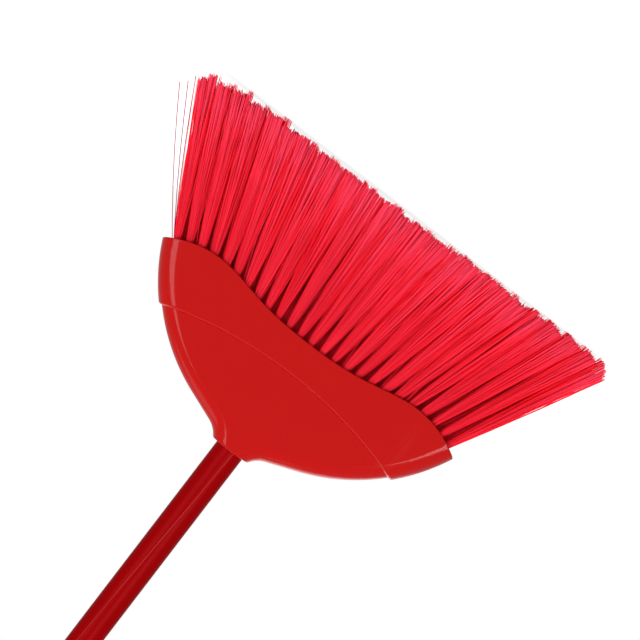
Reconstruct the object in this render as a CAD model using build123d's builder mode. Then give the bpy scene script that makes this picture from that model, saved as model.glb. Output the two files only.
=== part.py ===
from build123d import *
import math
import os

# Upright broom with a flared head. It stands on its bristle tips at Z = 0, with the handle
# along +Z, the head's width along X and its depth along Y. Lengths are in millimetres.

# Handle: a thin steel tube in a plastic film
handle_diameter = 22.2
film_wall = 0.3
tube_wall = 0.6
tube_length = 1170.0

# Threaded tip in the tube's lower end
tip_shoulder = 1.7
thread_length = 28.0
thread_lead_in = 2.5
tip_flange = 3.0
tip_plug_length = 40.0
tip_wall = 3.0

# Hanger cap in the tube's upper end
cap_plug_length = 30.0
cap_plug_wall = 2.5
cap_collar = 5.0
cap_height = 34.0
cap_tab_width = 19.0
cap_tab_depth = 10.0
cap_bevel = 1.5
hang_hole_diameter = 8.0

# Fits
plug_clearance = 0.05
thread_clearance = 0.3
neck_clearance = 0.3
block_clearance = 0.2

# Head, by height from the bristle tips up
bristle_length = 122.0
block_height = 16.0
hood_height = 72.5
socket_depth = 20.0
neck_length = 14.0
thread_runout = 4.0

# Head, across, with its width taken over the band at the ends of the rim
head_width = 259.6
head_depth = 45.0
neck_wall = 3.1
wall = 2.4
edge_round = 11.0
inner_bevel = 6.0

# Flank of the head, from the neck's corner out to the mouth
neck_root_half_width = 25.0
neck_root_drop = 8.5
shoulder_half_width = 47.0
shoulder_drop = 16.9
flare_spread = 6.3
flare_overrun = 5.0

# Raised band round the mouth, with a smile-shaped upper edge
band_step = 2.0
band_middle_rise = 3.0
band_end_rise = 27.8

# Wavy rim of the mouth, measured down from the tufted face
rim_middle_drop = 5.8
rim_trough_drop = 17.2
rim_trough_half_width = 90.0
rim_hip_drop = 9.7
rim_hip_half_width = 45.0
rim_end_drop = 3.2
rim_end_slope = 36.0
rim_overrun = 8.0

# Snap lugs inside the mouth, which hold the block up against its seat
snap_reach = 1.0
snap_height = 4.0
snap_length = 16.0
snap_half_spacing = 70.0
snap_gap = 0.3

# Socket tower and gussets of the tuft block
socket_wall = 2.8
gusset_width = 3.0
gusset_half_spacing = 6.0
gusset_drop = 12.0
gusset_reach = 85.0

# Tufts: staggered rows that fan out sideways and lean out to the front and back
tufts_in_long_row = 25
row_names = ["tuft_row_front", "tuft_row_front_middle", "tuft_row_back_middle", "tuft_row_back"]
tuft_slice = 4.0
tuft_end_margin = 13.3
row_margin = 5.0
fan_angle = 26.8
row_lean = 5.4
strand_diameter = 2.2
strand_gap = 0.1
strand_root = 2.0
tip_ring = 4.6
trim_rise = 6.0
trim_flat_share = 0.7
anchor_bite = 0.3
anchor_height = 2.4
anchor_thickness = 0.45

# Heights
face_z = bristle_length
slice_z = face_z + tuft_slice
seat_z = face_z + block_height
neck_z = seat_z + hood_height
socket_z = neck_z - socket_depth
ceiling_z = neck_z - neck_length
mouth_z = face_z - rim_end_drop
trough_z = face_z - rim_trough_drop
flare_z = trough_z - flare_overrun
tube_base_z = socket_z + tip_flange
tube_top_z = tube_base_z + tube_length
hang_hole_z = tube_top_z + cap_height - cap_tab_width / 2

# Diameters that mate
tube_diameter = handle_diameter - 2 * film_wall
tube_bore = tube_diameter - 2 * tube_wall
plug_diameter = tube_bore - 2 * plug_clearance
thread_diameter = handle_diameter - 2 * tip_shoulder
socket_bore = thread_diameter + 2 * thread_clearance
tower_diameter = socket_bore + 2 * socket_wall
neck_bore = handle_diameter + 2 * neck_clearance

# Half sizes of the head's body, inside the band
neck_half = neck_bore / 2 + neck_wall
mouth_half_width = head_width / 2 - band_step
mouth_half_depth = head_depth / 2 - band_step
depth_taper = (mouth_half_depth - neck_half) / (neck_z - mouth_z)
trim_z = neck_z + neck_half * depth_taper

# Offsets of the nested head forms from the body
block_room_offset = band_step - wall
block_offset = block_room_offset - block_clearance

# Plane of the body's front face, which leans back towards the neck
face_plane = Plane((0, -mouth_half_depth, mouth_z), x_dir=(1, 0, 0), z_dir=(0, -1, depth_taper))


def half_depth(z, grow):
    """Half the depth of a head form at height z, offset outwards by grow."""
    return neck_half + (neck_z - z) * depth_taper + grow


def up_face(z):
    """Distance up the leaning front face to height z."""
    return (z - mouth_z) * math.hypot(1, depth_taper)


def head_half(grow, outside):
    """Front half of the head's form, offset outwards by grow, with a rounded or a bevelled face."""
    with BuildPart() as half:
        with BuildSketch(face_plane.offset(grow)):
            with BuildLine():
                neck_corner = (neck_half, up_face(trim_z))
                neck_root = (neck_root_half_width, up_face(neck_z - neck_root_drop))
                shoulder = (shoulder_half_width, up_face(neck_z - shoulder_drop))
                flare = (mouth_half_width + flare_spread, up_face(flare_z))
                Line((0, up_face(trim_z)), neck_corner)
                slope = Line(neck_root, shoulder)
                TangentArc(neck_root, neck_corner, tangent=(slope % 0) * -1)
                TangentArc(shoulder, flare, tangent=slope % 1)
                Line(flare, (0, up_face(flare_z)))
                mirror(about=Plane.YZ)
            make_face()
            if grow:
                offset(amount=grow, kind=Kind.INTERSECTION)
        extrude(amount=-head_depth)
        face_edges = half.faces().sort_by(Axis.Y)[0].edges().filter_by(Axis.X, reverse=True)
        if outside:
            fillet(face_edges, radius=edge_round + grow)
        else:
            chamfer(face_edges, length=inner_bevel + grow * (2 - math.sqrt(2)))
        split(bisect_by=Plane.XZ, keep=Keep.TOP)
    return half.part


def inner_form(grow):
    """A bevelled form inside the shroud, both halves of it, offset outwards from the body by grow."""
    with BuildPart() as form:
        add(head_half(grow, outside=False))
        mirror(about=Plane.XZ)
    return form.part


# Tuft layout on the block's face
ring_radius = (strand_diameter + strand_gap) / math.sqrt(2)
ring_growth = tip_ring - ring_radius
ring_directions = [(1, 0), (0, 1), (-1, 0), (0, -1)]
tuft_diameter = 2 * ring_radius + strand_diameter
tuft_field_half_width = mouth_half_width - tuft_end_margin
tuft_pitch = 2 * tuft_field_half_width / (tufts_in_long_row - 1)
outer_row_y = half_depth(face_z, block_offset) - row_margin
row_pitch = 2 * outer_row_y / (len(row_names) - 1)
fan_run = math.tan(math.radians(fan_angle))
lean_run = math.tan(math.radians(row_lean))


def tuft_places(row):
    """Root positions (x, y) of the tufts of one row on the block's face."""
    count = tufts_in_long_row - row % 2
    y = (row - (len(row_names) - 1) / 2) * row_pitch
    return [((column - (count - 1) / 2) * tuft_pitch, y) for column in range(count)]


def strand(tuft_x, tuft_y, ring_x, ring_y):
    """One strand of a tuft, from its root in the block to the trimmed tip."""
    fan_share = tuft_x / tuft_field_half_width
    lean_share = tuft_y / outer_row_y
    rise_share = max(0.0, (abs(fan_share) - trim_flat_share) / (1 - trim_flat_share))
    length = face_z - trim_rise * rise_share**2
    run_x = length * fan_run * fan_share + ring_x * ring_growth
    run_y = length * lean_run * lean_share + ring_y * ring_growth
    run = Vector(run_x, run_y, -length)
    face_point = Vector(tuft_x + ring_x * ring_radius, tuft_y + ring_y * ring_radius, face_z)
    start = face_point - run * (strand_root / length)
    with BuildSketch(Plane(start, x_dir=(1, 0, 0), z_dir=(0, 0, -1))) as section:
        RegularPolygon(strand_diameter / 2, 3)
    return extrude(section.sketch, amount=run.length * (1 + strand_root / length), dir=run.normalized())


# Plane behind the head, from which its rim is cut through towards the front
back_plane = Plane.XZ.offset(-head_depth)

os.makedirs("parts", exist_ok=True)

# The band: the body stepped outwards, below a smile-shaped upper edge
with BuildPart() as band:
    add(head_half(band_step, outside=True))
    with BuildSketch(face_plane):
        with BuildLine():
            band_end = up_face(seat_z + band_end_rise)
            band_middle = up_face(seat_z + band_middle_rise)
            band_line = ThreePointArc((-head_width / 2, band_end), (0, band_middle), (head_width / 2, band_end))
            Polyline(band_line @ 1, (head_width, band_end), (head_width, head_width),
                     (-head_width, head_width), (-head_width, band_end), band_line @ 0)
        make_face()
    extrude(amount=head_depth, both=True, mode=Mode.SUBTRACT)

# Rooms inside the shroud: one that the block fills, and the hollow hood above its seat
with BuildPart() as block_room:
    add(inner_form(block_room_offset))
    split(bisect_by=Plane.XY.offset(seat_z), keep=Keep.BOTTOM)

with BuildPart() as hood_room:
    add(inner_form(-wall))
    split(bisect_by=Plane.XY.offset(seat_z), keep=Keep.TOP)
    split(bisect_by=Plane.XY.offset(ceiling_z), keep=Keep.BOTTOM)

# Shroud: the moulded cover of the head, with its neck, raised band and wavy mouth
with BuildPart() as shroud:
    add(head_half(0, outside=True))
    add(band.part)
    mirror(about=Plane.XZ)
    split(bisect_by=Plane.XY.offset(neck_z), keep=Keep.BOTTOM)
    with BuildSketch(back_plane):
        with BuildLine():
            end_run = Vector(1, 0).rotate(Axis.Z, rim_end_slope)
            rim_end = Vector(head_width / 2, mouth_z) + end_run * rim_overrun
            rim = Spline(
                (-rim_end.X, rim_end.Y),
                (-rim_trough_half_width, trough_z),
                (-rim_hip_half_width, face_z - rim_hip_drop),
                (0, face_z - rim_middle_drop),
                (rim_hip_half_width, face_z - rim_hip_drop),
                (rim_trough_half_width, trough_z),
                rim_end,
                tangents=[(end_run.X, -end_run.Y), end_run],
                tangent_scalars=[1, 1],
            )
            Polyline(rim @ 1, (head_width, rim_end.Y), (head_width, 0), (-head_width, 0),
                     (-head_width, rim_end.Y), rim @ 0)
        make_face()
    extrude(amount=2 * head_depth, mode=Mode.SUBTRACT)
    add(block_room.part, mode=Mode.SUBTRACT)
    add(hood_room.part, mode=Mode.SUBTRACT)
    with BuildSketch(Plane.XY.offset(neck_z)):
        Circle(neck_bore / 2)
    extrude(amount=-neck_length, mode=Mode.SUBTRACT)
    snap_top = face_z - snap_gap
    snap_wall = half_depth(snap_top, block_room_offset)
    for side in (-1, 1):
        with BuildSketch(Plane.YZ.offset(side * snap_half_spacing)):
            with BuildLine():
                Polyline((snap_wall + wall / 2, snap_top), (snap_wall - snap_reach, snap_top),
                         (snap_wall + wall / 2, snap_top - snap_height), close=True)
            make_face()
            mirror(about=Plane.YZ)
        extrude(amount=snap_length / 2, both=True)
shroud.part.label = "shroud"
export_step(shroud.part, "parts/shroud.step")

# Tuft anchors: a flat wire anchor across the root of each tuft
with BuildPart() as tuft_anchors:
    for row in range(len(row_names)):
        with BuildSketch(Plane.XY.offset(slice_z)):
            with Locations(*tuft_places(row)):
                Rectangle(tuft_diameter + 2 * anchor_bite, anchor_thickness)
        extrude(amount=anchor_height)
tuft_anchors.part.label = "tuft_anchors"
export_step(tuft_anchors.part, "parts/tuft_anchors.step")

# Tuft block: the moulded block behind the tufted face, with the handle's socket tower
with BuildPart() as tuft_block:
    add(inner_form(block_offset))
    split(bisect_by=Plane.XY.offset(slice_z), keep=Keep.TOP)
    split(bisect_by=Plane.XY.offset(seat_z), keep=Keep.BOTTOM)
    with BuildSketch(Plane.XY.offset(seat_z)):
        Circle(tower_diameter / 2)
    extrude(amount=socket_z - seat_z)
    for y in (-gusset_half_spacing, gusset_half_spacing):
        with BuildSketch(Plane.XZ.offset(y)):
            with BuildLine():
                Polyline((0, seat_z), (gusset_reach, seat_z), (tower_diameter / 2, socket_z - gusset_drop),
                         (0, socket_z - gusset_drop), close=True)
            make_face()
            mirror(about=Plane.YZ)
        extrude(amount=gusset_width / 2, both=True)
    with BuildSketch(Plane.XY.offset(socket_z)):
        Circle(socket_bore / 2)
    extrude(amount=-(thread_length + thread_runout), mode=Mode.SUBTRACT)
    add(tuft_anchors.part, mode=Mode.SUBTRACT)
tuft_block.part.label = "tuft_block"
export_step(tuft_block.part, "parts/tuft_block.step")

# Tuft rows: the strands of each row, standing in their slice of the block's face
for row, row_name in enumerate(row_names):
    places = tuft_places(row)
    strands = [strand(x, y, ring_x, ring_y) for x, y in places for ring_x, ring_y in ring_directions]
    inner_edge = places[0][1] - row_pitch / 2
    outer_edge = inner_edge + row_pitch
    if row == 0:
        inner_edge = -head_depth
    if row == len(row_names) - 1:
        outer_edge = head_depth
    with BuildPart() as tuft_row:
        add(inner_form(block_offset))
        with BuildSketch(Plane.XY.offset(face_z)):
            with Locations((0, (inner_edge + outer_edge) / 2)):
                Rectangle(2 * head_width, outer_edge - inner_edge)
        extrude(amount=tuft_slice, mode=Mode.INTERSECT)
        add(strands)
    tuft_row.part.label = row_name
    export_step(tuft_row.part, f"parts/{row_name}.step")

# Threaded tip: spigot, flange and plug in one moulding, hollow from below
with BuildPart() as threaded_tip:
    with BuildSketch(Plane.XZ):
        with BuildLine():
            spigot_z = socket_z - thread_length
            plug_z = tube_base_z + tip_plug_length
            bore_radius = thread_diameter / 2 - tip_wall
            Polyline((bore_radius, spigot_z), (thread_diameter / 2 - thread_lead_in / 2, spigot_z),
                     (thread_diameter / 2, spigot_z + thread_lead_in), (thread_diameter / 2, socket_z),
                     (handle_diameter / 2, socket_z), (handle_diameter / 2, tube_base_z),
                     (plug_diameter / 2, tube_base_z), (plug_diameter / 2, plug_z), (0, plug_z),
                     (0, plug_z - tip_wall), (bore_radius, plug_z - tip_wall), close=True)
        make_face()
    revolve(axis=Axis.Z)
threaded_tip.part.label = "threaded_tip"
export_step(threaded_tip.part, "parts/threaded_tip.step")

# Handle tube and the film on it
with BuildPart() as handle_tube:
    with BuildSketch(Plane.XY.offset(tube_base_z)):
        Circle(tube_diameter / 2)
        Circle(tube_bore / 2, mode=Mode.SUBTRACT)
    extrude(amount=tube_length)
handle_tube.part.label = "handle_tube"
export_step(handle_tube.part, "parts/handle_tube.step")

with BuildPart() as handle_film:
    with BuildSketch(Plane.XY.offset(tube_base_z)):
        Circle(handle_diameter / 2)
        Circle(tube_diameter / 2, mode=Mode.SUBTRACT)
    extrude(amount=tube_length)
handle_film.part.label = "handle_film"
export_step(handle_film.part, "parts/handle_film.step")

# Hanger cap: a hollow plug under a round collar, and a rounded tab with the hanging hole
with BuildPart() as hanger_cap:
    with BuildSketch(Plane.XZ):
        with Locations((0, hang_hole_z)):
            Circle(cap_tab_width / 2)
        with Locations((0, tube_top_z)):
            Rectangle(cap_tab_width, hang_hole_z - tube_top_z, align=(Align.CENTER, Align.MIN))
    extrude(amount=cap_tab_depth / 2, both=True)
    tab_edges = hanger_cap.faces().filter_by(Axis.Y).edges()
    chamfer(tab_edges.filter_by(Axis.X, reverse=True), length=cap_bevel)
    with BuildSketch(Plane.XZ):
        with Locations((0, tube_top_z)):
            Rectangle(handle_diameter / 2, cap_collar, align=Align.MIN)
    revolve(axis=Axis.Z)
    with BuildSketch(Plane.XZ):
        with Locations((0, hang_hole_z)):
            Circle(hang_hole_diameter / 2)
    extrude(amount=handle_diameter, both=True, mode=Mode.SUBTRACT)
    with BuildSketch(Plane.XY.offset(tube_top_z)):
        Circle(plug_diameter / 2)
        Circle(plug_diameter / 2 - cap_plug_wall, mode=Mode.SUBTRACT)
    extrude(amount=-cap_plug_length)
hanger_cap.part.label = "hanger_cap"
export_step(hanger_cap.part, "parts/hanger_cap.step")
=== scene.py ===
import math
import random

import bmesh
import bpy
from mathutils import Matrix, Vector


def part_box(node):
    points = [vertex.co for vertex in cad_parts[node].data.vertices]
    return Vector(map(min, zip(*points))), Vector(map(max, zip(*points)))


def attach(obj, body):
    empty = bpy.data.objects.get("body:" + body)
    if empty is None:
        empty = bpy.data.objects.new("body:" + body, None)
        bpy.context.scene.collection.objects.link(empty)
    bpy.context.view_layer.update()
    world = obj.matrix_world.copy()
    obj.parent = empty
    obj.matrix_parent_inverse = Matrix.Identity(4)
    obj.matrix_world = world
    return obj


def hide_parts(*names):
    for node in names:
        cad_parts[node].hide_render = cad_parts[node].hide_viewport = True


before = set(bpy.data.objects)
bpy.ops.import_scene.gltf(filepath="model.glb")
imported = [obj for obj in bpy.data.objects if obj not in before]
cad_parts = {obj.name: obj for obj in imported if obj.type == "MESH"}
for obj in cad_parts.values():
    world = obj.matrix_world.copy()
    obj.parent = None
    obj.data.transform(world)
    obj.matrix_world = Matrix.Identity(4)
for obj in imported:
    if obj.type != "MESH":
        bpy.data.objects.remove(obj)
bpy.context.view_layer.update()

MM = 0.001

# Tufts, laid out as the block is drilled
tufts_in_long_row = 25
row_nodes = ["tuft_row_front", "tuft_row_front_middle", "tuft_row_back_middle", "tuft_row_back"]
row_pieces = ["front_filaments", "front_middle_filaments", "back_middle_filaments", "back_filaments"]
tuft_slice = 4.0 * MM
slab_corner_cut = 6.0 * MM
anchor_length = 6.05 * MM
anchor_thickness = 0.45 * MM
tuft_hole_radius = 2.6 * MM
tuft_hole_sides = 16
fan_angle = math.radians(26.8)
row_lean = math.radians(5.4)

# Filaments: their number, section and bends, and the root's thickness as a share of the tip's
filaments_in_tuft = 180
filament_radius = 0.23 * MM
filament_sides = 3
filament_bends = 5
filament_root_share = 0.95
filament_twist = math.radians(20)
filament_bow = 0.9 * MM
stray_radius = 0.38 * MM

# Spread of a tuft. Left is the +X end of the head, which the camera shows on the left
root_depth = 3.0 * MM
outer_root_spread = 1.35 * MM
inner_root_spread = 3.0 * MM
tip_spread_across = 10.0 * MM
outer_spread_deep = 6.5 * MM
inner_spread_deep = 9.5 * MM
end_gather_left = 0.4
end_gather_right = 0.7
tuft_wander = 1.3 * MM
tip_jitter = 1.5 * MM
wild_share = 0.08
wild_growth = 2.2

# Cut of the tips: its rise at the ends of the fan, and how ragged it is
trim_rise_left = 7.5 * MM
trim_rise_right = 3.5 * MM
trim_flat_left = 0.7
trim_flat_right = 0.92
rag_usual = 1.2 * MM
rag_most = 4.0 * MM
clumps_in_tuft = 5
clump_usual = 1.5 * MM
clump_most = 5.0 * MM
tuft_trim_step = 0.8 * MM
inner_trim = 5.0 * MM
square_cut_share = 0.6
full_end_right = 0.5

# Tone of the filaments, from deep red at 0 to pale pink at 1: partly random, partly painted shade and
# painted light
# Inner rows: a deep tone that paints the shade cast on them by the outer rows
inner_shade_tone = 0.05
stray_tone = 0.5
tone_spread = 0.8
# Painted shade: the filaments deepen towards the right end of the fan
right_end_shade = 0.3
# Painted light along each filament: deeper towards the root, paler towards the tip, most at the very tips
tip_painted_light = 0.25
tip_painted_flare = 1.8
tip_painted_flare_power = 8

# Cover of the head: its heights, and its half sizes at the neck and at the mouth
neck_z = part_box("shroud")[1].z
mouth_z = 118.8 * MM
seat_z = 138.0 * MM
ceiling_z = 196.5 * MM
neck_half = 14.5 * MM
neck_bore_radius = 11.4 * MM
mouth_half_depth = 20.5 * MM
edge_round = 11.0 * MM
inner_round = 7.5 * MM
depth_taper = (mouth_half_depth - neck_half) / (neck_z - mouth_z)
face_slant = math.hypot(1, depth_taper)

# Flank of the cover, from the neck's corner out to the mouth
neck_root_half_width = 25.0 * MM
neck_root_drop = 8.5 * MM
shoulder_half_width = 47.0 * MM
shoulder_drop = 16.9 * MM
flare_half_width = 134.1 * MM
flare_z = 99.8 * MM
flank_step = 0.5 * MM
flank_lead = 8.0 * MM

# Band round the mouth and its smile-shaped upper edge
band_step = 2.0 * MM
band_half_width = 129.8 * MM
band_middle_z = 140.7 * MM
band_end_z = 167.5 * MM
wall_inset = -0.4 * MM
hood_inset = -2.4 * MM
step_length = 2.6 * MM

# Wavy rim: half widths, drops below the tufted face and slopes of its knots
rim_knots = [(0.0 * MM, 5.6 * MM, 0.0), (45.0 * MM, 8.9 * MM, -0.18),
             (90.0 * MM, 15.6 * MM, 0.044), (136.3 * MM, -2.3 * MM, 0.72)]

# Small roundings of the cover: the reach of each, and where the middle of its bend lies
neck_ease = 0.9 * MM
neck_bend = 0.26 * MM
rim_ease = 0.7 * MM
rim_bend = 0.2 * MM
inner_rim_ease = 0.5 * MM
inner_rim_bend = 0.15 * MM
bore_ease = 0.6 * MM

# Columns and rows of the cover's mesh, and the halvings that find a height on it
wall_columns = 2
round_columns = 12
face_columns = 24
body_rows = 44
step_rows = 8
band_rows = 16
inner_rows = 6
height_halvings = 40

# Handle film, wrapped with a slowly turning seam
film_sides = 96
film_steps = 48
film_thickness = 0.08 * MM
seam_lip = 0.2 * MM
seam_foot_share = 0.95
seam_edge = math.radians(2.0)
seam_lap = math.radians(40)
seam_turn_length = 1.467
seam_start_angle = math.radians(-112.7)

# Screw tip: the thread on its spigot, and the plug in the tube
thread_pitch = 5.08 * MM
thread_depth = 1.2 * MM
thread_crest = 1.5 * MM
thread_foot = 3.4 * MM
thread_turns = 4.2
thread_lead = 2.4 * MM
thread_radius = 9.4 * MM
tip_bore_radius = 6.4 * MM
tip_flange = 3.0 * MM
tip_wall = 3.0 * MM
plug_radius = 10.15 * MM
turned_sides = 48

# Eased edges, and the angles that tell flat, sharp and creased edges apart
tip_ease = 0.3 * MM
cap_ease = 0.6 * MM
ease_segments = 3
sharp_angle = math.radians(35)
flat_angle = math.radians(0.5)
cover_crease = math.radians(50)
cap_crease = math.radians(40)
tip_crease = math.radians(30)
film_crease = math.radians(25)

# Distances under which the points of a mesh are one point
cad_merge = 0.005 * MM
seam_merge = 0.002 * MM

# Finishes: what a rub mark does to a moulded plastic, the film, and the cut end of a filament
rub_tint = 0.25
rub_lightening = 0.06
rub_dulling = 0.2
film_deep = (0.265, 0.0003, 0.0012)
film_light = (0.295, 0.0005, 0.0018)
film_edge_glint_colour = (0.4, 0.03, 0.03)
film_roughness = 0.3
film_rub_dulling = 0.08
film_grain_depth = 0.004 * MM
film_specular = 0.016
cut_end_colour = (0.38, 0.01, 0.03)
bristle_specular = 0.01

# Stage: the floor, the surround, and how much of their white a gloss shows
floor_half_width = 12.0
floor_colour = (0.3, 0.3, 0.3, 1.0)
surround_colour = (1.0, 1.0, 1.0, 1.0)
gloss_level = 0.4

# Camera: the distance, and the width of the view through the middle of the broom
view_centre = Vector((5.2 * MM, 0, 98.5 * MM))
view_width = 454.0 * MM
view_distance = 1.7
view_roll_cos = 0.79399
view_roll_sin = 0.60793

random.seed(11)


# Node helpers

def add_node(tree, kind, inputs=None, **settings):
    """Adds a node, sets its properties, and fills or links its inputs."""
    node = tree.nodes.new(kind)
    for name, value in settings.items():
        setattr(node, name, value)
    for key, value in (inputs or {}).items():
        if isinstance(value, bpy.types.NodeSocket):
            tree.links.new(value, node.inputs[key])
        else:
            node.inputs[key].default_value = value
    return node


def combine(tree, operation, *values):
    """The result of an operation on values."""
    return add_node(tree, "ShaderNodeMath", dict(enumerate(values)), operation=operation).outputs["Value"]


def map_range(tree, value, given=(0.0, 1.0), result=(0.0, 1.0)):
    """A value moved from one range to another and held at its ends."""
    mapped = add_node(tree, "ShaderNodeMapRange", {
        "Value": value, "From Min": given[0], "From Max": given[1],
        "To Min": result[0], "To Max": result[1]})
    return mapped.outputs["Result"]


def read_attribute(tree, name):
    """A value that the mesh carries at its points."""
    return add_node(tree, "ShaderNodeAttribute", attribute_name=name).outputs["Fac"]


def start_group(name, inputs, outputs):
    """An empty shader group with float inputs and the given outputs."""
    group = bpy.data.node_groups.new(name, "ShaderNodeTree")
    for socket, value in inputs.items():
        item = group.interface.new_socket(socket, in_out="INPUT", socket_type="NodeSocketFloat")
        item.default_value = value
    for socket in outputs:
        group.interface.new_socket(socket, in_out="OUTPUT", socket_type="NodeSocketFloat")
    return group, group.nodes.new("NodeGroupInput"), group.nodes.new("NodeGroupOutput")


def make_moulding_grain():
    """Fine skin of a moulded plastic, and the broad cloudiness of its gloss and colour."""
    scales = {"Grain Scale": 900.0, "Cloud Scale": 18.0}
    group, given, out = start_group("moulding_grain", scales, ["Height", "Cloud"])
    place = add_node(group, "ShaderNodeTexCoord")
    grain = add_node(group, "ShaderNodeTexNoise", {
        "Vector": place.outputs["Object"], "Scale": given.outputs["Grain Scale"], "Detail": 3.0})
    cloud = add_node(group, "ShaderNodeTexNoise", {
        "Vector": place.outputs["Object"], "Scale": given.outputs["Cloud Scale"],
        "Detail": 4.0, "Distortion": 0.6})
    group.links.new(grain.outputs["Fac"], out.inputs["Height"])
    group.links.new(cloud.outputs["Fac"], out.inputs["Cloud"])
    return group


def make_rub_marks():
    """Faint hairline rub marks, sparse and mostly along one direction."""
    group, given, out = start_group("rub_marks", {"Spacing": 60.0, "Amount": 0.5}, ["Marks"])
    place = add_node(group, "ShaderNodeTexCoord")
    turned = add_node(group, "ShaderNodeMapping", {
        "Vector": place.outputs["Object"], "Rotation": (0.0, 0.6, 0.0), "Scale": (1.0, 1.0, 0.04)})
    fibre = add_node(group, "ShaderNodeTexNoise", {
        "Vector": turned.outputs["Vector"], "Scale": given.outputs["Spacing"],
        "Detail": 6.0, "Roughness": 0.7})
    sparse = map_range(group, fibre.outputs["Fac"], given=(0.62, 0.74))
    marks = combine(group, "MULTIPLY", sparse, given.outputs["Amount"])
    group.links.new(marks, out.inputs["Marks"])
    return group


def start_material(name):
    """A material with an empty Principled shader."""
    material = bpy.data.materials.new(name)
    material.use_nodes = True
    tree = material.node_tree
    tree.nodes.clear()
    shader = tree.nodes.new("ShaderNodeBsdfPrincipled")
    out = tree.nodes.new("ShaderNodeOutputMaterial")
    tree.links.new(shader.outputs["BSDF"], out.inputs["Surface"])
    return material, tree, shader


def blend_colours(tree, amount, first, second):
    """A colour between two, by an amount that varies over the surface."""
    mix = add_node(tree, "ShaderNodeMix", data_type="RGBA")
    tree.links.new(amount, mix.inputs["Factor"])
    for label, colour in (("A", first), ("B", second)):
        target = [socket for socket in mix.inputs if socket.name == label and socket.type == "RGBA"][0]
        if isinstance(colour, bpy.types.NodeSocket):
            tree.links.new(colour, target)
        else:
            target.default_value = (*colour, 1.0)
    return [socket for socket in mix.outputs if socket.type == "RGBA"][0]


def press_grain(tree, shader, height, strength, depth):
    """Gives a shader the fine relief of a height."""
    bump = add_node(tree, "ShaderNodeBump", {"Height": height, "Strength": strength, "Distance": depth})
    tree.links.new(bump.outputs["Normal"], shader.inputs["Normal"])


def moulded_plastic(name, light, deep, gloss, rough, grain_depth, marks_amount, specular):
    """A moulded plastic between two tones and two roughnesses, with its skin and rub marks."""
    material, tree, shader = start_material(name)
    skin = add_node(tree, "ShaderNodeGroup", node_tree=moulding_grain)
    rubs = add_node(tree, "ShaderNodeGroup", {"Amount": marks_amount}, node_tree=rub_marks)
    cloud = skin.outputs["Cloud"]
    marks = rubs.outputs["Marks"]
    tone = blend_colours(tree, cloud, deep, light)
    tint = combine(tree, "MULTIPLY", marks, rub_tint)
    rubbed_colour = [min(1.0, channel + rub_lightening) for channel in light]
    tree.links.new(blend_colours(tree, tint, tone, rubbed_colour), shader.inputs["Base Color"])
    satin = map_range(tree, cloud, given=(0.3, 0.7), result=(gloss, rough))
    dulled = combine(tree, "MULTIPLY_ADD", marks, rub_dulling, satin)
    tree.links.new(dulled, shader.inputs["Roughness"])
    press_grain(tree, shader, skin.outputs["Height"], strength=0.5, depth=grain_depth)
    shader.inputs["Specular IOR Level"].default_value = specular
    return material


def bristle_finish(name, deep, light, root):
    """Drawn filament of its own tone between two colours, with painted shade towards its root, and darker
    at its cut end.
    """
    material, tree, shader = start_material(name)
    tone = read_attribute(tree, "tone")
    share = read_attribute(tree, "share")
    # Painted shade: below the cover's rim the colour goes over to the darker root colour
    shade = map_range(tree, share, given=(0.25, 0.85), result=(0.65, 0.0))
    shaded = blend_colours(tree, shade, blend_colours(tree, tone, deep, light), root)
    cut = map_range(tree, share, given=(0.99, 1.0), result=(0.0, 0.3))
    tree.links.new(blend_colours(tree, cut, shaded, cut_end_colour), shader.inputs["Base Color"])
    sheen = map_range(tree, tone, result=(0.42, 0.3))
    tree.links.new(sheen, shader.inputs["Roughness"])
    shader.inputs["Specular IOR Level"].default_value = bristle_specular
    return material


def film_finish():
    """Glossy wrapped film with a faint long grain and a paler edge at its seam, partly the film's cut edge
    and partly a painted highlight of the seam's glint.
    """
    material, tree, shader = start_material("red_handle_film")
    skin = add_node(tree, "ShaderNodeGroup", {"Grain Scale": 120.0}, node_tree=moulding_grain)
    rubs = add_node(tree, "ShaderNodeGroup", {"Spacing": 240.0, "Amount": 0.4}, node_tree=rub_marks)
    tone = blend_colours(tree, skin.outputs["Cloud"], film_deep, film_light)
    # Paler seam edge: the film's cut edge, and a painted highlight of the glint along the seam
    edge = map_range(tree, read_attribute(tree, "lip"), given=(0.4, 1.0))
    tree.links.new(blend_colours(tree, edge, tone, film_edge_glint_colour), shader.inputs["Base Color"])
    dulled = combine(tree, "MULTIPLY_ADD", rubs.outputs["Marks"], film_rub_dulling, film_roughness)
    tree.links.new(dulled, shader.inputs["Roughness"])
    press_grain(tree, shader, skin.outputs["Height"], strength=0.2, depth=film_grain_depth)
    shader.inputs["Specular IOR Level"].default_value = film_specular
    return material


def drawn_steel(name, bright, dull):
    """Bare drawn or rolled steel with a fine long grain."""
    material, tree, shader = start_material(name)
    rubs = add_node(tree, "ShaderNodeGroup", {"Spacing": 400.0, "Amount": 1.0}, node_tree=rub_marks)
    marks = rubs.outputs["Marks"]
    tree.links.new(blend_colours(tree, marks, bright, dull), shader.inputs["Base Color"])
    grain = map_range(tree, marks, result=(0.3, 0.5))
    tree.links.new(grain, shader.inputs["Roughness"])
    shader.inputs["Metallic"].default_value = 1.0
    return material


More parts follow.
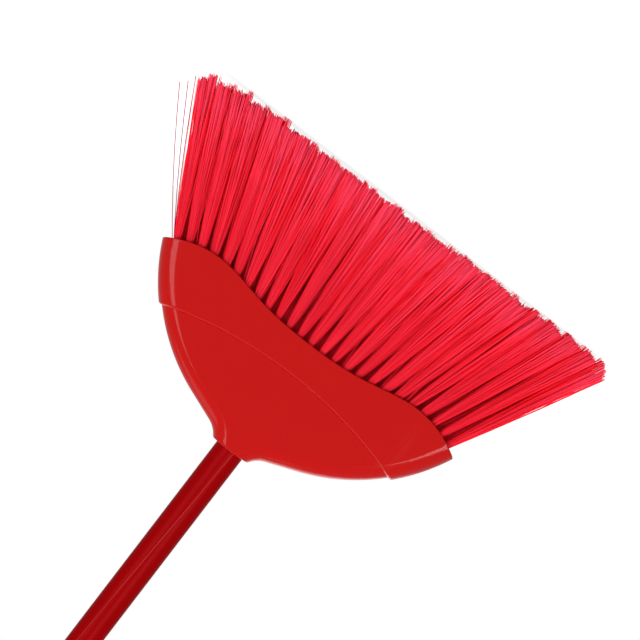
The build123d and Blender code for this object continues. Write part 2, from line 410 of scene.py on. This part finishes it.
moulding_grain = make_moulding_grain()
rub_marks = make_rub_marks()
shroud_plastic = moulded_plastic(
    "shroud_red_plastic", light=(0.45, 0.0016, 0.0008), deep=(0.42, 0.001, 0.0005),
    gloss=0.09, rough=0.12, grain_depth=0.01 * MM, marks_amount=0.35, specular=0.16)
block_plastic = moulded_plastic(
    "block_red_plastic", light=(0.42, 0.002, 0.001), deep=(0.38, 0.001, 0.0005),
    gloss=0.42, rough=0.52, grain_depth=0.01 * MM, marks_amount=0.0, specular=0.15)
fitting_plastic = moulded_plastic(
    "fitting_red_plastic", light=(0.33, 0.001, 0.001), deep=(0.29, 0.0005, 0.0005),
    gloss=0.24, rough=0.32, grain_depth=0.008 * MM, marks_amount=0.35, specular=0.12)
# The root colour is painted shade where the filaments leave the cover
bristle_filament = bristle_finish(
    "bristle_filament", deep=(1.0, 0.0005, 0.005), light=(1.0, 0.06, 0.125), root=(0.8, 0.016, 0.034))
# The strays' material is a deeper copy of the filament's, as painted shade
shaded_stray_filament = bristle_finish(
    "shaded_stray_filament", deep=(0.36, 0.004, 0.03), light=(0.42, 0.008, 0.04), root=(0.36, 0.004, 0.03))
red_handle_film = film_finish()
anchor_steel = drawn_steel("anchor_wire_steel", bright=(0.56, 0.56, 0.57), dull=(0.4, 0.4, 0.41))
tube_steel = drawn_steel("rolled_tube_steel", bright=(0.52, 0.52, 0.53), dull=(0.38, 0.38, 0.39))


# Pieces

def finish_piece(bm, name, body, material, nodes, smooth=True):
    """Turns a bmesh into a piece that rides on a body and stands for CAD nodes."""
    mesh = bpy.data.meshes.new(name)
    for face in bm.faces:
        face.smooth = smooth
    bm.to_mesh(mesh)
    bm.free()
    mesh.materials.append(material)
    piece = bpy.data.objects.new(name, mesh)
    bpy.context.scene.collection.objects.link(piece)
    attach(piece, body)
    if nodes:
        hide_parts(*nodes)
    return piece


def even_normals(piece):
    """Lets the large faces set the shading, so that flat stays flat beside a round."""
    weighting = piece.modifiers.new("even_normals", "WEIGHTED_NORMAL")
    weighting.mode = "FACE_AREA"
    weighting.weight = 50
    weighting.keep_sharp = True


def upright_edges(bm, rise):
    """Edges whose ends stand more than a rise apart in height."""
    return [edge for edge in bm.edges if abs(edge.verts[0].co.z - edge.verts[1].co.z) > rise]


def ease_edges(bm, ease, clamp):
    """Rounds the sharp outer edges of a solid."""
    sharp = [edge for edge in bm.edges
             if edge.is_manifold and edge.is_convex and edge.calc_face_angle() > sharp_angle]
    bmesh.ops.bevel(bm, geom=sharp, offset=ease, segments=ease_segments, profile=0.5, affect="EDGES",
                    material=-1, clamp_overlap=clamp)


def make_filament_blank():
    """One straight filament, one unit long and one unit in radius, from its root at 0 down to -1."""
    bm = bmesh.new()
    bmesh.ops.create_cone(bm, cap_ends=True, segments=filament_sides, radius1=1.0,
                          radius2=filament_root_share, depth=1.0, matrix=Matrix.Translation((0, 0, -0.5)))
    bmesh.ops.subdivide_edges(bm, edges=upright_edges(bm, 0.5), cuts=filament_bends - 1)
    blank = bpy.data.meshes.new("filament_blank")
    bm.to_mesh(blank)
    bm.free()
    return blank


# The tufts' field on the block, from the boxes of the block and its anchors
block_low, block_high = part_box("tuft_block")
anchors_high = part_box("tuft_anchors")[1]
face_z = block_low.z - tuft_slice
field_half_width = anchors_high.x - anchor_length / 2
outer_row_y = anchors_high.y - anchor_thickness / 2
tuft_pitch = 2 * field_half_width / (tufts_in_long_row - 1)
row_pitch = 2 * outer_row_y / (len(row_nodes) - 1)
fan_half_width = field_half_width + face_z * math.tan(fan_angle)
golden_angle = math.pi * (3 - math.sqrt(5))


def tuft_places(row):
    """Root positions of the tufts of one row on the block's face."""
    count = tufts_in_long_row - row % 2
    y = (row - (len(row_nodes) - 1) / 2) * row_pitch
    return [((column - (count - 1) / 2) * tuft_pitch, y) for column in range(count)]


def trim_height(tip_x):
    """Height of the trimmed tips, which rises towards the ends of the fan."""
    rise, flat = (trim_rise_left, trim_flat_left) if tip_x > 0 else (trim_rise_right, trim_flat_right)
    share = max(0.0, (abs(tip_x) / fan_half_width - flat) / (1 - flat))
    return rise * share ** 2


def tuft_routes(x, y):
    """Root, tip, bow, tone and twist of each filament of the tuft at (x, y)."""
    fan_share = x / field_half_width
    lean_share = y / outer_row_y
    outer = abs(lean_share) > 0.5
    root_spread = outer_root_spread if outer else inner_root_spread
    spread_deep = outer_spread_deep if outer else inner_spread_deep
    end_gather = end_gather_left if x > 0 else end_gather_right
    right_share = max(0.0, -fan_share)
    raggedness = 1 - full_end_right * right_share
    # Painted shade that deepens the tone towards the right end
    end_shade = 1 - right_end_shade * right_share
    square_cut = square_cut_share * tip_spread_across * math.tan(fan_angle) * fan_share
    middle_x = x + face_z * math.tan(fan_angle) * fan_share + random.gauss(0, tuft_wander)
    middle_y = y + face_z * math.tan(row_lean) * lean_share + random.gauss(0, tuft_wander)
    tuft_trim = abs(random.gauss(0, tuft_trim_step)) + (0 if outer else inner_trim)
    clumps = [random.triangular(0, clump_most, clump_usual) for _ in range(clumps_in_tuft)]
    turn = random.uniform(0, math.tau)
    routes = []
    for index in range(filaments_in_tuft):
        radius = math.sqrt((index + 0.5) / filaments_in_tuft)
        angle = index * golden_angle + turn
        side = radius * math.cos(angle)
        deep = radius * math.sin(angle)
        wild = wild_growth if random.random() < wild_share else 1.0
        root = Vector((x + side * root_spread, y + deep * root_spread, face_z + root_depth))
        gather = 1 - end_gather * max(0.0, side * fan_share)
        tip_x = middle_x + side * tip_spread_across * gather + random.gauss(0, tip_jitter * wild)
        tip_y = middle_y + deep * spread_deep + random.gauss(0, tip_jitter)
        clump = clumps[int((side + 1) / 2 * clumps_in_tuft)]
        rag = random.triangular(0, rag_most, rag_usual) + tuft_trim + clump
        trim = filament_radius + max(0.0, trim_height(tip_x) + square_cut * side + rag * raggedness)
        tip = Vector((tip_x, tip_y, 0)).lerp(root, trim / root.z)
        bow = Vector((random.gauss(0, filament_bow), random.gauss(0, filament_bow), 0)) * wild
        # Painted sheen: filaments on the outward side of an outer tuft get a paler tone, and the inner rows
        # get the painted shade tone
        painted_sheen = max(0.0, deep * lean_share) ** 2 if outer else inner_shade_tone
        tone = end_shade * (painted_sheen + tone_spread * random.random() ** 2) / (1 + tone_spread)
        twist = random.uniform(-filament_twist, filament_twist)
        routes.append((root, tip, bow, tone, twist))
    return routes


def lay_filaments(name, routes, nodes, radius, material):
    """A piece of one filament along each route, with painted light towards the tips and painted shade
    towards the roots.
    """
    bm = bmesh.new()
    for _ in routes:
        bm.from_mesh(filament_blank)
    tone_and_painted_light_layer = bm.verts.layers.float.new("tone")
    share_layer = bm.verts.layers.float.new("share")
    corners = iter(bm.verts)
    for root, tip, bow, tone, twist in routes:
        run = tip - root
        turned = Matrix.Rotation(twist, 3, "Z") * radius
        for _ in range(len(filament_blank.vertices)):
            corner = next(corners)
            share = -corner.co.z
            section = turned @ Vector((corner.co.x, corner.co.y, 0))
            # Painted light: paler towards the tip, deeper towards the root
            painted_light_along = 1 - tip_painted_light + 2 * tip_painted_light * share + tip_painted_flare * share ** tip_painted_flare_power
            corner.co = root + run * share + bow * math.sin(math.pi * share) + section
            corner[tone_and_painted_light_layer] = tone * painted_light_along
            corner[share_layer] = share
    return finish_piece(bm, name, "head", material, nodes, smooth=False)


def make_stray_filaments():
    """A few filaments that have sprung out of the end tufts."""
    y = -outer_row_y
    end = field_half_width
    # Tuft, tip and sideways bow of each
    strays = [
        ((end, y), (185.2 * MM, y - 2 * MM, 25.5 * MM), 2.0 * MM),
        ((end, y + row_pitch), (181.6 * MM, y + 4 * MM, 20.9 * MM), 1.5 * MM),
        ((end, y + 1.5 * MM), (178.8 * MM, y - 1 * MM, 15.2 * MM), 1.5 * MM),
        ((-end, y), (-179.0 * MM, y - 1 * MM, 10.0 * MM), -0.8 * MM),
    ]
    twist = 0.0
    routes = []
    for (x, row_y), tip, bow in strays:
        side = math.copysign(outer_root_spread, x)
        root = Vector((x + side, row_y, face_z + root_depth))
        routes.append((root, Vector(tip), Vector((bow, 0, 0)), stray_tone, twist))
    lay_filaments("stray_filaments", routes, [], stray_radius, shaded_stray_filament)


def make_tuft_drill():
    """A cylinder for each tuft's hole, to be cut out of the block's face."""
    bm = bmesh.new()
    for row in range(len(row_nodes)):
        for x, y in tuft_places(row):
            bmesh.ops.create_cone(bm, cap_ends=True, segments=tuft_hole_sides, radius1=tuft_hole_radius,
                                  radius2=tuft_hole_radius, depth=4 * tuft_slice,
                                  matrix=Matrix.Translation((x, y, face_z)))
    mesh = bpy.data.meshes.new("tuft_drill")
    bm.to_mesh(mesh)
    bm.free()
    drill = bpy.data.objects.new("tuft_drill", mesh)
    bpy.context.scene.collection.objects.link(drill)
    return drill


def make_tufted_face():
    """The block's drilled face, a thin slab with a hole for each tuft."""
    bm = bmesh.new()
    length = block_high.x - block_low.x
    depth = block_high.y - block_low.y
    bmesh.ops.create_cube(bm, size=1.0)
    bmesh.ops.scale(bm, vec=(length, depth, tuft_slice), verts=bm.verts)
    bmesh.ops.translate(bm, vec=(0, 0, face_z + tuft_slice / 2), verts=bm.verts)
    bmesh.ops.bevel(bm, geom=upright_edges(bm, tuft_slice / 2), offset=slab_corner_cut, segments=1,
                    profile=0.5, affect="EDGES", material=-1)
    slab = finish_piece(bm, "tufted_face", "head", block_plastic, row_nodes, smooth=False)
    drill = make_tuft_drill()
    drilling = slab.modifiers.new("tuft_holes", "BOOLEAN")
    drilling.operation = "DIFFERENCE"
    drilling.object = drill
    drilling.solver = "EXACT"
    drilled = bpy.data.meshes.new_from_object(slab.evaluated_get(bpy.context.evaluated_depsgraph_get()))
    slab.modifiers.clear()
    slab.data = drilled
    drilled.name = "tufted_face"
    bpy.data.objects.remove(drill)


def up_face(z):
    """Distance up the cover's leaning face to height z."""
    return (z - mouth_z) * face_slant


def arc_points(start, heading, end):
    """Evenly spaced points along the arc that leaves start in one direction and reaches end."""
    chord = end - start
    across = Vector((-heading.y, heading.x))
    reach = chord.length_squared / (2 * across.dot(chord))
    centre = start + across * reach
    sweep = 2 * heading.angle_signed(chord)
    steps = round(abs(reach * sweep) / flank_step)
    return [centre + Matrix.Rotation(-sweep * step / steps, 2) @ (start - centre)
            for step in range(steps + 1)]


def line_points(start, end):
    """Evenly spaced points along a straight line, without its last point."""
    steps = max(1, round((end - start).length / flank_step))
    return [start.lerp(end, step / steps) for step in range(steps)]


def flank_line():
    """The cover's flank on its leaning face, from above the neck's corner out to the mouth."""
    corner = Vector((neck_half, up_face(neck_z + neck_half * depth_taper)))
    root = Vector((neck_root_half_width, up_face(neck_z - neck_root_drop)))
    shoulder = Vector((shoulder_half_width, up_face(neck_z - shoulder_drop)))
    flare = Vector((flare_half_width, up_face(flare_z)))
    slope = (shoulder - root).normalized()
    neck = arc_points(root, -slope, corner)[::-1]
    rise = (neck[0] - neck[1]).normalized()
    upper = line_points(corner + rise * flank_lead, corner) + neck[:-1]
    return upper + line_points(root, shoulder) + arc_points(shoulder, slope, flare)


def flank_at(run):
    """Point of the flank a run down from its top, and its outward direction."""
    last = len(flank) - 1
    index = min(max(int(run / flank_step), 0), last - 1)
    share = run / flank_step - index
    along = flank[index + 1] - flank[index]
    first = (flank[index + 1] - flank[max(index - 1, 0)]).normalized()
    second = (flank[min(index + 2, last)] - flank[index]).normalized()
    heading = first.lerp(second, share).normalized()
    return flank[index] + along * share, Vector((-heading.y, heading.x))


def on_cover(column, run, grow, rounding):
    """Place on the cover's face plane, and depth behind it, of a column's point, offset by grow."""
    kind, share = column
    edge, outward = flank_at(run)
    if kind == "face":
        place = edge - outward * rounding
        return Vector((place.x * share, place.y)), -grow
    if kind == "round":
        reach = rounding + grow
        angle = share * math.pi / 2
        return edge - outward * (rounding - reach * math.sin(angle)), rounding - reach * math.cos(angle)
    place = edge + outward * grow
    middle = mouth_half_depth * face_slant - place.y * depth_taper
    return place, rounding + (middle - rounding) * share


def cover_point(column, run, grow, rounding):
    """Point of the cover's front in the broom's frame."""
    place, depth = on_cover(column, run, grow, rounding)
    y = (place.y * depth_taper + depth) / face_slant - mouth_half_depth
    return Vector((place.x, y, mouth_z + place.y / face_slant))


def rim_height(x):
    """Height of the wavy rim at a distance from the middle."""
    x = abs(x)
    near = max(knot for knot in range(len(rim_knots) - 1) if knot == 0 or x >= rim_knots[knot][0])
    near_x, near_drop, near_slope = rim_knots[near]
    far_x, far_drop, far_slope = rim_knots[near + 1]
    span = far_x - near_x
    share = (x - near_x) / span
    rest = 1 - share
    drop = near_drop * (1 + 2 * share) * rest ** 2 + far_drop * share ** 2 * (3 - 2 * share)
    rise = span * share * rest * (near_slope * rest - far_slope * share)
    return face_z - (drop - rise)


def smile_height(x):
    """Height of the band's upper edge at a distance from the middle."""
    rise = band_end_z - band_middle_z
    bend = (band_half_width ** 2 + rise ** 2) / (2 * rise)
    return band_middle_z + bend - math.sqrt(bend ** 2 - x * x)


def run_where(column, grow, rounding, excess):
    """Run down a column at which its excess over a level falls to nothing."""
    low = 0.0
    high = (len(flank) - 1) * flank_step
    for _ in range(height_halvings):
        run = (low + high) / 2
        if excess(column, run, grow, rounding) > 0:
            low = run
        else:
            high = run
    return (low + high) / 2


def above(level):
    """Excess of a column's point over a height."""
    return lambda *where: cover_point(*where).z - level


def above_rim(*where):
    """Excess of a column's point over the rim."""
    point = cover_point(*where)
    return point.z - rim_height(point.x)


def above_smile(*where):
    """Excess of a column's point over the band's upper edge."""
    point = cover_point(*where)
    return point.z - smile_height(point.x)


def step_share(share):
    """Rise of the band's step, steep at its foot and rounded at its crest."""
    return 1 - (1 - share) ** 2


def even_rows(start, end, rows, grow):
    """Evenly spaced runs from start to end, each with the same offset."""
    return [(start + (end - start) * row / rows, grow) for row in range(rows + 1)]


def cover_column(column):
    """Points of one column, down the outside from the neck to the rim and up again inside."""
    neck_run = run_where(column, 0, edge_round, above(neck_z))
    smile_run = run_where(column, 0, edge_round, above_smile)
    rim_run = run_where(column, band_step, edge_round, above_rim)
    inner_rim_run = run_where(column, wall_inset, inner_round, above_rim)
    seat_run = run_where(column, wall_inset, inner_round, above(seat_z))
    hood_run = run_where(column, hood_inset, inner_round, above(seat_z))
    ceiling_run = run_where(column, hood_inset, inner_round, above(ceiling_z))
    body_end = smile_run - step_length / 2
    band_start = smile_run + step_length / 2
    outside = [(neck_run, -neck_ease), (neck_run + neck_bend, -neck_bend)]
    outside += even_rows(neck_run + neck_ease, body_end, body_rows, 0)
    outside += [(body_end + step_length * row / step_rows, band_step * step_share(row / step_rows))
                for row in range(1, step_rows)]
    outside += even_rows(band_start, rim_run - rim_ease, band_rows, band_step)
    outside += [(rim_run - rim_bend, band_step - rim_bend), (rim_run, band_step - rim_ease)]
    inside = [(inner_rim_run, wall_inset + inner_rim_ease),
              (inner_rim_run - inner_rim_bend, wall_inset + inner_rim_bend)]
    inside += even_rows(inner_rim_run - inner_rim_ease, seat_run, inner_rows, wall_inset)
    inside += even_rows(hood_run, ceiling_run, inner_rows, hood_inset)
    points = [cover_point(column, run, grow, edge_round) for run, grow in outside]
    points += [cover_point(column, run, grow, inner_round) for run, grow in inside]
    spoke = Vector((points[0].x, points[0].y, 0)).normalized()
    bore = [(neck_bore_radius, ceiling_z), (neck_bore_radius, neck_z - bore_ease),
            (neck_bore_radius + bore_ease, neck_z)]
    points += [spoke * radius + Vector((0, 0, z)) for radius, z in bore]
    return points + points[:1]


def make_shroud_cover():
    """The head's cover: a closed shell with a rounded flank, a raised band, a wavy rim and a bored neck."""
    columns = [("wall", 1 - index / wall_columns) for index in range(wall_columns)]
    columns += [("round", 1 - index / round_columns) for index in range(round_columns)]
    columns += [("face", 1 - index / face_columns) for index in range(face_columns + 1)]
    quarter = [cover_column(column) for column in columns]
    mirrored = [[Vector((-point.x, point.y, point.z)) for point in column]
                for column in reversed(quarter[:-1])]
    front = quarter + mirrored
    back = [[Vector((point.x, -point.y, point.z)) for point in column]
            for column in reversed(front[1:-1])]
    ring = front + back + front[:1]
    bm = bmesh.new()
    bmesh.ops.create_grid(bm, x_segments=len(ring) - 1, y_segments=len(ring[0]) - 1, size=1.0)
    for index, vert in enumerate(bm.verts):
        vert.co = ring[index % len(ring)][index // len(ring)]
    bmesh.ops.remove_doubles(bm, verts=bm.verts, dist=seam_merge)
    bmesh.ops.recalc_face_normals(bm, faces=bm.faces)
    cover = finish_piece(bm, "shroud_cover", "head", shroud_plastic, ["shroud"])
    cover.data.set_sharp_from_angle(angle=cover_crease)
    even_normals(cover)


def make_handle_sleeve():
    """The handle's film: a thin sleeve whose lapped seam turns slowly round the tube."""
    low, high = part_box("handle_film")
    radius = high.x
    step = (high.z - low.z) / film_steps
    close_up = Matrix.Rotation(seam_edge - math.tau / film_sides, 3, "Z")
    step_turn = Matrix.Rotation(math.tau * step / seam_turn_length, 3, "Z")
    bm = bmesh.new()
    bmesh.ops.create_circle(bm, segments=film_sides, radius=radius)
    for vert in bm.verts:
        turned = math.atan2(vert.co.y, vert.co.x) % math.tau
        lap = min(1.0, turned / seam_lap)
        vert.co *= 1 - seam_lip * (1 - lap) / radius
        if turned < math.pi / film_sides:
            bmesh.ops.rotate(bm, verts=[vert], matrix=close_up)
    bmesh.ops.rotate(bm, verts=bm.verts, matrix=Matrix.Rotation(seam_start_angle, 3, "Z"))
    bmesh.ops.translate(bm, verts=bm.verts, vec=(0, 0, low.z))
    ring = bm.edges[:]
    for _ in range(film_steps):
        drawn = bmesh.ops.extrude_edge_only(bm, edges=ring)["geom"]
        top = [part for part in drawn if isinstance(part, bmesh.types.BMVert)]
        ring = [part for part in drawn if isinstance(part, bmesh.types.BMEdge)]
        bmesh.ops.translate(bm, verts=top, vec=(0, 0, step))
        bmesh.ops.rotate(bm, verts=top, matrix=step_turn)
    bmesh.ops.recalc_face_normals(bm, faces=bm.faces)
    outward = sum(face.normal.xy.dot(face.calc_center_median().xy) for face in bm.faces)
    if outward < 0:
        bmesh.ops.reverse_faces(bm, faces=bm.faces)
    lip_layer = bm.verts.layers.float.new("lip")
    for vert in bm.verts:
        vert[lip_layer] = 1.0 if vert.co.xy.length < radius - seam_foot_share * seam_lip else 0.0
    bmesh.ops.solidify(bm, geom=bm.faces, thickness=film_thickness)
    sleeve = finish_piece(bm, "handle_sleeve", "handle", red_handle_film, ["handle_film"])
    sleeve.data.set_sharp_from_angle(angle=film_crease)


def make_hanging_cap():
    """The handle's end cap: its merged CAD mesh, with the sharp outer edges eased."""
    bm = bmesh.new()
    bm.from_mesh(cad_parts["hanger_cap"].data)
    bmesh.ops.remove_doubles(bm, verts=bm.verts, dist=cad_merge)
    bmesh.ops.dissolve_limit(bm, angle_limit=flat_angle, verts=bm.verts, edges=bm.edges)
    ease_edges(bm, cap_ease, clamp=True)
    cap = finish_piece(bm, "hanging_cap", "handle", fitting_plastic, ["hanger_cap"])
    cap.data.set_sharp_from_angle(angle=cap_crease)
    even_normals(cap)


def make_screw_tip():
    """The handle's screw tip: a hollow spigot with a helical thread, a flange, and a plug in the tube."""
    low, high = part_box("threaded_tip")
    tube_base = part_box("handle_tube")[0].z
    flange_base = tube_base - tip_flange
    root = thread_radius - thread_depth
    bm = bmesh.new()
    profile = [(0, high.z - tip_wall), (tip_bore_radius, high.z - tip_wall), (tip_bore_radius, low.z),
               (root, low.z), (root, flange_base), (high.x, flange_base), (high.x, tube_base),
               (plug_radius, tube_base), (plug_radius, high.z), (0, high.z)]
    corners = [bm.verts.new((radius, 0, z)) for radius, z in profile]
    sides = [bm.edges.new(pair) for pair in zip(corners, corners[1:])]
    bmesh.ops.spin(bm, geom=corners + sides, cent=(0, 0, 0), axis=(0, 0, 1), angle=math.tau,
                   steps=turned_sides, use_merge=True)
    bmesh.ops.remove_doubles(bm, verts=bm.verts, dist=seam_merge)
    bmesh.ops.recalc_face_normals(bm, faces=bm.faces)
    ease_edges(bm, tip_ease, clamp=False)
    core = set(bm.edges)
    start = low.z + thread_lead
    foot = root - tip_ease
    section = [(foot, -thread_foot / 2), (thread_radius, -thread_crest / 2),
               (thread_radius, thread_crest / 2), (foot, thread_foot / 2)]
    corners = [bm.verts.new((radius, 0, start + z)) for radius, z in section]
    sides = [bm.edges.new(pair) for pair in zip(corners, corners[1:] + corners[:1])]
    bmesh.ops.spin(bm, geom=corners + sides, cent=(0, 0, 0), axis=(0, 0, 1),
                   dvec=(0, 0, thread_pitch / turned_sides), angle=math.tau * thread_turns,
                   steps=round(thread_turns * turned_sides))
    ends = [edge for edge in bm.edges if edge not in core and edge.is_boundary]
    bmesh.ops.holes_fill(bm, edges=ends, sides=len(section))
    bmesh.ops.recalc_face_normals(bm, faces=bm.faces)
    tip = finish_piece(bm, "screw_tip", "tip", fitting_plastic, ["threaded_tip"])
    tip.data.set_sharp_from_angle(angle=tip_crease)


filament_blank = make_filament_blank()
for row, node in enumerate(row_nodes):
    routes = [route for place in tuft_places(row) for route in tuft_routes(*place)]
    lay_filaments(row_pieces[row], routes, [node], filament_radius, bristle_filament)
make_stray_filaments()
bpy.data.meshes.remove(filament_blank)
make_tufted_face()
flank = flank_line()
make_shroud_cover()
make_handle_sleeve()
make_hanging_cap()
make_screw_tip()

# CAD nodes that stay as they are, in their own finish
bare_nodes = {"tuft_block": block_plastic, "tuft_anchors": anchor_steel, "handle_tube": tube_steel}
for node, material in bare_nodes.items():
    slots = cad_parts[node].data.materials
    slots.clear()
    slots.append(material)


# Floor, background, lamps and camera

def seen_directly(tree):
    """One for what the camera sees, less for what a gloss shows, and nothing for light on the object."""
    path = add_node(tree, "ShaderNodeLightPath")
    glossy = combine(tree, "MULTIPLY", path.outputs["Is Glossy Ray"], gloss_level)
    return combine(tree, "MAXIMUM", path.outputs["Is Camera Ray"], glossy)


def make_floor():
    """A wide pale floor under the bristle tips."""
    bm = bmesh.new()
    bmesh.ops.create_grid(bm, x_segments=1, y_segments=1, size=floor_half_width)
    mesh = bpy.data.meshes.new("floor")
    bm.to_mesh(mesh)
    bm.free()
    floor = bpy.data.objects.new("floor", mesh)
    bpy.context.scene.collection.objects.link(floor)
    material, tree, shader = start_material("pale_floor")
    shader.inputs["Base Color"].default_value = floor_colour
    shader.inputs["Roughness"].default_value = 0.9
    shader.inputs["Specular IOR Level"].default_value = 0.0
    place = add_node(tree, "ShaderNodeTexCoord")
    reach = add_node(tree, "ShaderNodeVectorMath", {0: place.outputs["Object"]}, operation="LENGTH")
    level = map_range(tree, reach.outputs["Value"], given=(0.3, 2.5), result=(0.86, 0.97))
    lift = combine(tree, "MULTIPLY", seen_directly(tree), level)
    glow = add_node(tree, "ShaderNodeEmission", {"Strength": lift})
    both = add_node(tree, "ShaderNodeAddShader", {0: shader.outputs["BSDF"], 1: glow.outputs["Emission"]})
    out = [node for node in tree.nodes if node.type == "OUTPUT_MATERIAL"][0]
    tree.links.new(both.outputs["Shader"], out.inputs["Surface"])
    mesh.materials.append(material)


def make_background():
    """A white surround, which lights the object at a softer level than it shows."""
    world = bpy.data.worlds.new("studio")
    bpy.context.scene.world = world
    world.use_nodes = True
    tree = world.node_tree
    tree.nodes.clear()
    strength = map_range(tree, seen_directly(tree), result=(0.6, 1.0))
    surround = add_node(tree, "ShaderNodeBackground", {"Color": surround_colour, "Strength": strength})
    out = add_node(tree, "ShaderNodeOutputWorld")
    tree.links.new(surround.outputs["Background"], out.inputs["Surface"])


def add_softbox(name, place, aim, width, height, power):
    """A soft rectangular lamp that points at a place on the broom."""
    lamp = bpy.data.lights.new(name, "AREA")
    lamp.shape = "RECTANGLE"
    lamp.size = width
    lamp.size_y = height
    lamp.energy = power
    softbox = bpy.data.objects.new(name, lamp)
    softbox.location = place
    softbox.rotation_euler = (Vector(aim) - Vector(place)).to_track_quat("-Z", "Y").to_euler()
    softbox.visible_camera = False
    bpy.context.scene.collection.objects.link(softbox)


def make_camera():
    """Straight on to the front, rolled so that the handle runs down to the left."""
    right = Vector((-view_roll_cos, 0, -view_roll_sin))
    up = Vector((view_roll_sin, 0, -view_roll_cos))
    backward = Vector((0, -1, 0))
    turn = Matrix((right, up, backward)).transposed().to_4x4()
    data = bpy.data.cameras.new("camera")
    data.lens = data.sensor_width * view_distance / view_width
    camera = bpy.data.objects.new("camera", data)
    camera.matrix_world = Matrix.Translation(view_centre + backward * view_distance) @ turn
    bpy.context.scene.collection.objects.link(camera)
    bpy.context.scene.camera = camera


make_floor()
make_background()
add_softbox("key_softbox", place=(1.12, -2.2, 0.66), aim=(0, 0, 0.15), width=1.4, height=1.28, power=29.0)
add_softbox("fill_softbox", place=(-1.2, -2.2, 0.5), aim=(0, 0, 0.15), width=1.1, height=0.96, power=28.0)
add_softbox("top_softbox", place=(0.3, -0.4, 2.7), aim=(0, 0, 0.1), width=2.0, height=2.0, power=16.0)
add_softbox("back_softbox", place=(-0.6, 1.9, 2.0), aim=(0, 0, 0.2), width=2.0, height=2.0, power=24.0)
make_camera()
bpy.context.scene.view_settings.view_transform = "Standard"
